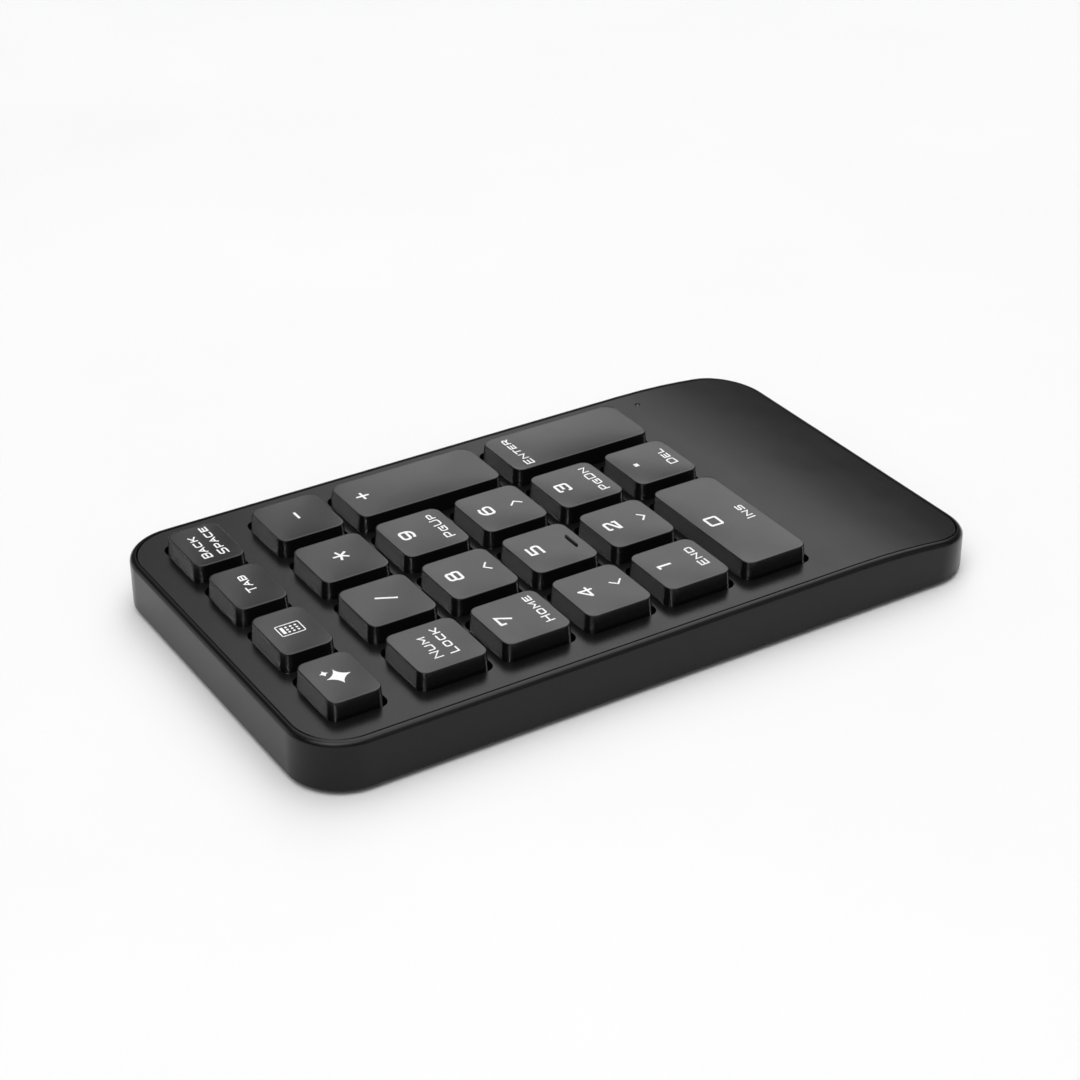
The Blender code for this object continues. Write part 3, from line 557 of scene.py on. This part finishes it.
def calculator_icon(key):
    """A frame with a display bar and nine buttons."""
    bm = bmesh.new()
    (x, y), (w, h), r = CALCULATOR_CENTRE, CALCULATOR_HALF, CALCULATOR_CORNER
    corners = ((x - w, y + h, r), (x + w, y + h, r), (x + w, y - h, r), (x - w, y - h, r))
    stroke(bm, [(x - w, y, 0), *corners, (x - w, y, 0)], CALCULATOR_LINE, INK_PROUD, key)
    display = [(x + side * DISPLAY_HALF, y + DISPLAY_UP, 0) for side in (-1, 1)]
    stroke(bm, display, DISPLAY_LINE, INK_PROUD, key)
    turns = [math.radians(30 * k) for k in range(12)]
    button = [(BUTTON_RADIUS * math.cos(t), BUTTON_RADIUS * math.sin(t)) for t in turns]
    for i in (-1, 0, 1):
        for j in (-1, 0, 1):
            at_x, at_y = x + i * BUTTON_PITCH[0], y + (j - BUTTONS_DOWN) * BUTTON_PITCH[1]
            plate_shape(bm, [(at_x + dx, at_y + dy) for dx, dy in button], key)
    return bm


SPARKLES = ((0.35, -0.15, 2.5, 0.75), (2.45, 1.9, 0.95, 0.28))  # centre, reach and waist, in mm


def sparkle_icon(key):
    """A large four-pointed sparkle with a small one at its upper right."""
    bm = bmesh.new()
    for star in SPARKLES:
        plate_shape(bm, sparkle(*(v * MM for v in star)), key)
    return bm


# ---- keycaps ----------------------------------------------------------------------------------
def rounded_ring(half_x, half_y, radius, arc=10, side=6):
    """Points round a rectangle with round corners, with some along the straight sides too."""
    points = []
    turns = ((1, -1), (1, 1), (-1, 1), (-1, -1))
    for k, (sx, sy) in enumerate(turns):
        corner = Vector((sx * (half_x - radius), sy * (half_y - radius)))
        for i in range(arc + 1):
            a = math.radians(90 * (k - 1 + i / arc))
            points.append(corner + Vector((math.cos(a), math.sin(a))) * radius)
        nx, ny = turns[(k + 1) % 4]
        a = math.radians(90 * k)
        after = Vector((nx * (half_x - radius), ny * (half_y - radius)))
        after = after + Vector((math.cos(a), math.sin(a))) * radius
        points += [points[-1].lerp(after, i / side) for i in range(1, side)]
    return points


def lofted(bm, rings):
    """Adds a closed skin through rings of points, with a flat face at each end."""
    made = [[bm.verts.new(p) for p in ring] for ring in rings]
    for a, b in zip(made, made[1:]):
        for i in range(len(a)):
            j = (i + 1) % len(a)
            bm.faces.new((a[i], b[i], b[j], a[j]))
    bm.faces.new(made[0])
    bm.faces.new(made[-1][::-1])


class Key:
    """A key's place, from its CAD node: the centre and the half width and half depth of its top."""

    def __init__(self, node):
        low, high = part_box(node)
        self.x, self.y = (low.x + high.x) / 2, (low.y + high.y) / 2
        self.half_x = (high.x - low.x) / 2 - KEY_FLARE
        self.half_y = (high.y - low.y) / 2 - KEY_FLARE

    def dish(self, x, y):
        u, v = min(abs(x / self.half_x), 1.0), min(abs(y / self.half_y), 1.0)
        return DISH * (1 - u * u) * (1 - v * v)

    def on_top(self, x, y, lift=0.0):
        return (self.x + x, self.y + y, KEY_TOP - self.dish(x, y) + lift)

    def ring(self, out, drop):
        edge = rounded_ring(self.half_x + out, self.half_y + out, KEY_CORNER + out)
        return [(self.x + p.x, self.y + p.y, KEY_TOP - drop) for p in edge]

    def cap(self):
        """The hollow cap: dished top, crisp fillet, drafted walls, ceiling and stem."""
        bm = bmesh.new()
        rings = []
        for scale in DISH_RINGS:
            edge = rounded_ring(self.half_x * scale, self.half_y * scale, KEY_CORNER * scale)
            rings.append([self.on_top(p.x, p.y) for p in edge])
        for i in range(FILLET_STEPS + 1):
            a = (math.pi / 2 - KEY_DRAFT) * i / FILLET_STEPS
            rings.append(self.ring(KEY_FILLET * math.sin(a), KEY_FILLET * (1 - math.cos(a))))
        rings.append(self.ring(KEY_FLARE - SKIRT_INSET, KEY_SKIRT - SKIRT_BEVEL))
        rings.append(self.ring(KEY_FLARE - SKIRT_BEVEL, KEY_SKIRT))
        rings.append(self.ring(KEY_FLARE - KEY_WALL, KEY_SKIRT))
        inner = self.ring(CEILING_OUT, KEY_TOP_THICK)
        rings.append(inner)
        angles = [math.atan2(p[1] - self.y, p[0] - self.x) for p in inner]
        stem = (
            (STEM_RADIUS, inner[0][2]),
            (STEM_RADIUS, STEM_END + STEM_BEVEL),
            (STEM_RADIUS * STEM_TIP, STEM_END),
        )
        for radius, z in stem:
            rings.append([(self.x + radius * math.cos(a), self.y + radius * math.sin(a), z) for a in angles])
        lofted(bm, rings)
        return bm


def add_block(bm, low, high):
    """A closed box between two corners."""
    x0, y0, z0 = low
    x1, y1, z1 = high
    flat = [(x0, y0), (x1, y0), (x1, y1), (x0, y1)]
    lofted(bm, [[(x, y, z) for x, y in flat] for z in (z0, z1)])


def add_hooks(bm, key):
    """The plates inside a long key that its levelling wire's ends lie between."""
    ceiling = KEY_TOP - KEY_TOP_THICK
    for side in (-1, 1):
        along = side * HOOK_ALONG
        for across in HOOK_ACROSS:
            if key.half_x > key.half_y:
                middle = (key.x + along, key.y + across)
                half = (HOOK_HALF_LENGTH, HOOK_HALF_THICK)
            else:
                middle = (key.x - across, key.y + along)
                half = (HOOK_HALF_THICK, HOOK_HALF_LENGTH)
            low = (middle[0] - half[0], middle[1] - half[1], HOOK_END)
            high = (middle[0] + half[0], middle[1] + half[1], ceiling + HOOK_ROOT)
            add_block(bm, low, high)


KEYS = {node[4:]: Key(node) for node in sorted(NODES) if node.startswith("key_") and node != "key_frame"}
for name, key in KEYS.items():
    node = "key_" + name
    bm = key.cap()
    if "wire_" + name in NODES:
        add_hooks(bm, key)
    piece("cap_" + name, bm, MATERIALS["key_plastic"], node, [node])
    if name == "assist":
        bm = sparkle_icon(key)
    elif name == "calculator":
        bm = calculator_icon(key)
    else:
        bm = legend(name, key)
    piece("legend_" + name, bm, INK, node)


BAR_PROFILE = (  # out from the bar's outline and up from the key's top, in mm
    (0, -0.2), (0, 0.2), (-0.03, 0.32), (-0.08, 0.39), (-0.15, 0.44), (-0.21, 0.45),
)
BAR_LEAST_CORNER = 0.03 * MM


def homing_bar():
    """The raised bar that the fingers find on the 5."""
    key = KEYS["5"]
    x, y, top = key.x, key.y - BAR_DOWN, KEY_TOP - key.dish(0, -BAR_DOWN)
    bm = bmesh.new()
    rings = []
    for out, up in BAR_PROFILE:
        corner = max(BAR_CORNER + out * MM, BAR_LEAST_CORNER)
        edge = rounded_ring(BAR_HALF_LENGTH + out * MM, BAR_HALF_WIDTH + out * MM, corner, 6, 3)
        rings.append([(x + p.x, y + p.y, top + up * MM) for p in edge])
    lofted(bm, rings)
    return bm


piece("homing_bar", homing_bar(), MATERIALS["key_plastic"], "key_5")


# ---- rubber domes -----------------------------------------------------------------------------
def revolved(bm, x, y, z, profile, sides=24):
    """A closed turned shape round a vertical axis; its (radius, height) points start and end on the axis."""
    rings = []
    for radius, height in profile:
        if radius < TINY:
            rings.append([bm.verts.new((x, y, z + height))])
            continue
        turns = [2 * math.pi * i / sides for i in range(sides)]
        ring = [(x + radius * math.cos(t), y + radius * math.sin(t), z + height) for t in turns]
        rings.append([bm.verts.new(place) for place in ring])
    for a, b in zip(rings, rings[1:]):
        for i in range(sides):
            j = (i + 1) % sides
            corners = [a[i % len(a)], b[i % len(b)], b[j % len(b)], a[j % len(a)]]
            bm.faces.new(list(dict.fromkeys(corners)))


DOME_PROFILE = (  # radius and height in mm, from the top down the outside and up the inside
    (0, 2.5), (1.9, 2.5), (2.15, 2.44), (2.25, 2.28), (2.3, 1.95), (2.5, 1.72), (2.8, 1.3), (3.15, 0.6),
    (3.4, 0.2), (3.8, 0.06), (3.85, 0.0),
    (3.1, 0.0), (2.75, 0.6), (2.3, 1.35), (1.9, 1.6), (1.15, 1.62), (1.1, 0.95), (0.95, 0.85), (0, 0.85),
)
SHEET_BEVEL = 0.08 * MM
SHEET_CORNER = 3 * MM


def dome_sheet():
    """The flat sheet that the domes stand on, with its edges eased."""
    low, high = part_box("dome_mat")
    x, y = (low.x + high.x) / 2, (low.y + high.y) / 2
    half_x, half_y = (high.x - low.x) / 2, (high.y - low.y) / 2
    bm = bmesh.new()
    rings = []
    edges = (
        (-SHEET_BEVEL, low.z),
        (0, low.z + SHEET_BEVEL),
        (0, MAT_TOP - SHEET_BEVEL),
        (-SHEET_BEVEL, MAT_TOP),
    )
    for out, z in edges:
        edge = rounded_ring(half_x + out, half_y + out, SHEET_CORNER, 6, 2)
        rings.append([(x + p.x, y + p.y, z) for p in edge])
    lofted(bm, rings)
    return bm


piece("dome_sheet", dome_sheet(), MATERIALS["dome_silicone"], "base", ["dome_mat"])
for name, key in KEYS.items():
    bm = bmesh.new()
    revolved(bm, key.x, key.y, MAT_TOP, [(r * MM, h * MM) for r, h in DOME_PROFILE])
    dome = piece("dome_" + name, bm, MATERIALS["dome_silicone"], "base")
    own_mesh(dome)


# ---- underside --------------------------------------------------------------------------------
KNOB_X = 6.7 * MM  # from the flange's left end to where the knob's lengths are counted from
KNOB_LEFT, KNOB_RIGHT = -3.1, 0.1  # mm; the knob's ends
KNOB_TOP = 2.0  # mm above its ribbed face, where it goes into the flange
KNOB_RIBS = 5
KNOB_STEPS = 48
RIB_DEPTH = 0.22  # mm
KNOB_ROUND = 0.18  # mm; rounds the ends of the ribbed face
KNOB_SIDES = ((-1.5, 0.14), (-1.36, 0.0), (1.36, 0.0), (1.5, 0.14))  # across, and how far the edges are eased
FLANGE_PROFILE = ((-0.1, 1.7), (0, 1.8), (0, 2.35), (-0.1, 2.45))  # out from the outline, and up
FLANGE_HALF = (5.2 * MM, 2.7 * MM)
FLANGE_CORNER = 0.6 * MM


def switch_knob():
    """The ribbed knob that shows through the case, on its wide flange."""
    low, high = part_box("power_switch")
    x, y, z = low.x + KNOB_X, (low.y + high.y) / 2, low.z
    bm = bmesh.new()
    length = KNOB_RIGHT - KNOB_LEFT
    profile = [(KNOB_LEFT, KNOB_TOP)]
    for i in range(KNOB_STEPS + 1):
        t = i / KNOB_STEPS
        from_end = min(t, 1 - t) * length
        rib = RIB_DEPTH / 2 * (1 - math.cos(2 * math.pi * KNOB_RIBS * t))
        profile.append((KNOB_LEFT + length * t, rib + max(0.0, KNOB_ROUND - from_end)))
    profile.append((KNOB_RIGHT, KNOB_TOP))
    rings = []
    for side, inset in KNOB_SIDES:
        ring = []
        for along, up in profile:
            along = min(max(along, KNOB_LEFT + inset), KNOB_RIGHT - inset)
            ring.append((x + along * MM, y + side * MM, z + (up + inset) * MM))
        rings.append(ring)
    lofted(bm, rings)
    rings = []
    half_x, half_y = FLANGE_HALF
    for out, up in FLANGE_PROFILE:
        edge = rounded_ring(half_x + out * MM, half_y + out * MM, FLANGE_CORNER + out * MM, 4, 2)
        rings.append([(low.x + half_x + p.x, y + p.y, z + up * MM) for p in edge])
    lofted(bm, rings)
    return bm


knob = switch_knob()
piece("switch_knob", knob, MATERIALS["switch_plastic"], "power_switch", ["power_switch"])


# ---- camera -----------------------------------------------------------------------------------
def add_camera():
    view = Vector((
        math.sin(CAMERA_HEADING) * math.cos(CAMERA_DROP),
        math.cos(CAMERA_HEADING) * math.cos(CAMERA_DROP),
        -math.sin(CAMERA_DROP),
    ))
    data = bpy.data.cameras.new("camera")
    data.lens = CAMERA_LENS
    data.sensor_width = CAMERA_SENSOR
    data.clip_start = CAMERA_NEAR
    camera = bpy.data.objects.new("camera", data)
    turn = view.to_track_quat("-Z", "Y").to_matrix() @ Matrix.Rotation(CAMERA_ROLL, 3, "Z")
    camera.matrix_world = Matrix.Translation(CAMERA_AIM - view * CAMERA_DISTANCE) @ turn.to_4x4()
    SCENE.collection.objects.link(camera)
    SCENE.camera = camera


add_camera()


# ---- studio -----------------------------------------------------------------------------------
def area_light(name, width, depth, radiance):
    """A rectangular light at the origin that faces down."""
    data = bpy.data.lights.new(name, "AREA")
    data.shape = "RECTANGLE"
    data.size, data.size_y = width, depth
    data.energy = radiance * math.pi * width * depth
    light = bpy.data.objects.new(name, data)
    SCENE.collection.objects.link(light)
    return light


def softbox(name, heading, elevation, distance, width, depth, radiance):
    """A softbox that faces the object from a compass heading and an elevation, in degrees."""
    a, e = math.radians(heading), math.radians(elevation)
    away = Vector((math.sin(a) * math.cos(e), math.cos(a) * math.cos(e), math.sin(e)))
    light = area_light(name, width, depth, radiance)
    turned = away.to_track_quat("Z", "Y").to_matrix().to_4x4()
    light.matrix_world = Matrix.Translation(away * distance) @ turned
    return light


def add_overhead():
    """A large softbox above and beyond the object, in layers so that its light falls off to its edges."""
    x, y = (share * OVERHEAD_HEIGHT for share in OVERHEAD_CENTRE)
    for i, (length, width, radiance) in enumerate(OVERHEAD_LAYERS):
        light = area_light(f"overhead_{i + 1}", length * OVERHEAD_HEIGHT, width * OVERHEAD_HEIGHT, radiance)
        light.location = (x, y, OVERHEAD_HEIGHT + OVERHEAD_STEP * i)
        light.rotation_euler = (0, 0, math.radians(OVERHEAD_TURN))


def add_bounce():
    """Light that comes up at the keycaps' walls from low around the keypad. It falls on nothing else, and
    only the homing bar shades it, because the deck would keep all of it off the walls."""
    caps = bpy.data.collections.new("caps")
    for obj in SCENE.objects:
        if obj.name.startswith("cap_"):
            caps.objects.link(obj)
    shade = bpy.data.collections.new("bounce_shade")
    shade.objects.link(SCENE.objects["homing_bar"])
    for name, heading, width, radiance in BOUNCE:
        light = softbox(name, heading, BOUNCE_ELEVATION, BOUNCE_DISTANCE, width, BOUNCE_DEPTH, radiance)
        light.data.cycles.use_multiple_importance_sampling = False
        light.light_linking.receiver_collection = caps
        light.light_linking.blocker_collection = shade


def add_floor():
    bm = bmesh.new()
    bmesh.ops.create_grid(bm, x_segments=FLOOR_CELLS, y_segments=FLOOR_CELLS, size=FLOOR_HALF)
    mesh = bpy.data.meshes.new("floor")
    bm.to_mesh(mesh)
    bm.free()
    floor = bpy.data.objects.new("floor", mesh)
    mesh.materials.append(surface("floor_paper", grey(0.8), grey(0.82), (0.75, 0.85), 120, 0.6, 0.01))
    SCENE.collection.objects.link(floor)


def add_studio():
    world = bpy.data.worlds.new("studio")
    SCENE.world = world
    world.use_nodes = True
    sky = world.node_tree.nodes["Background"]
    sky.inputs["Color"].default_value = (1.0, 1.0, 1.0, 1)
    sky.inputs["Strength"].default_value = WORLD_STRENGTH
    add_overhead()
    for box in SOFTBOXES:
        softbox(*box)
    add_bounce()
    add_floor()
    SCENE.view_settings.view_transform = "Standard"


add_studio()
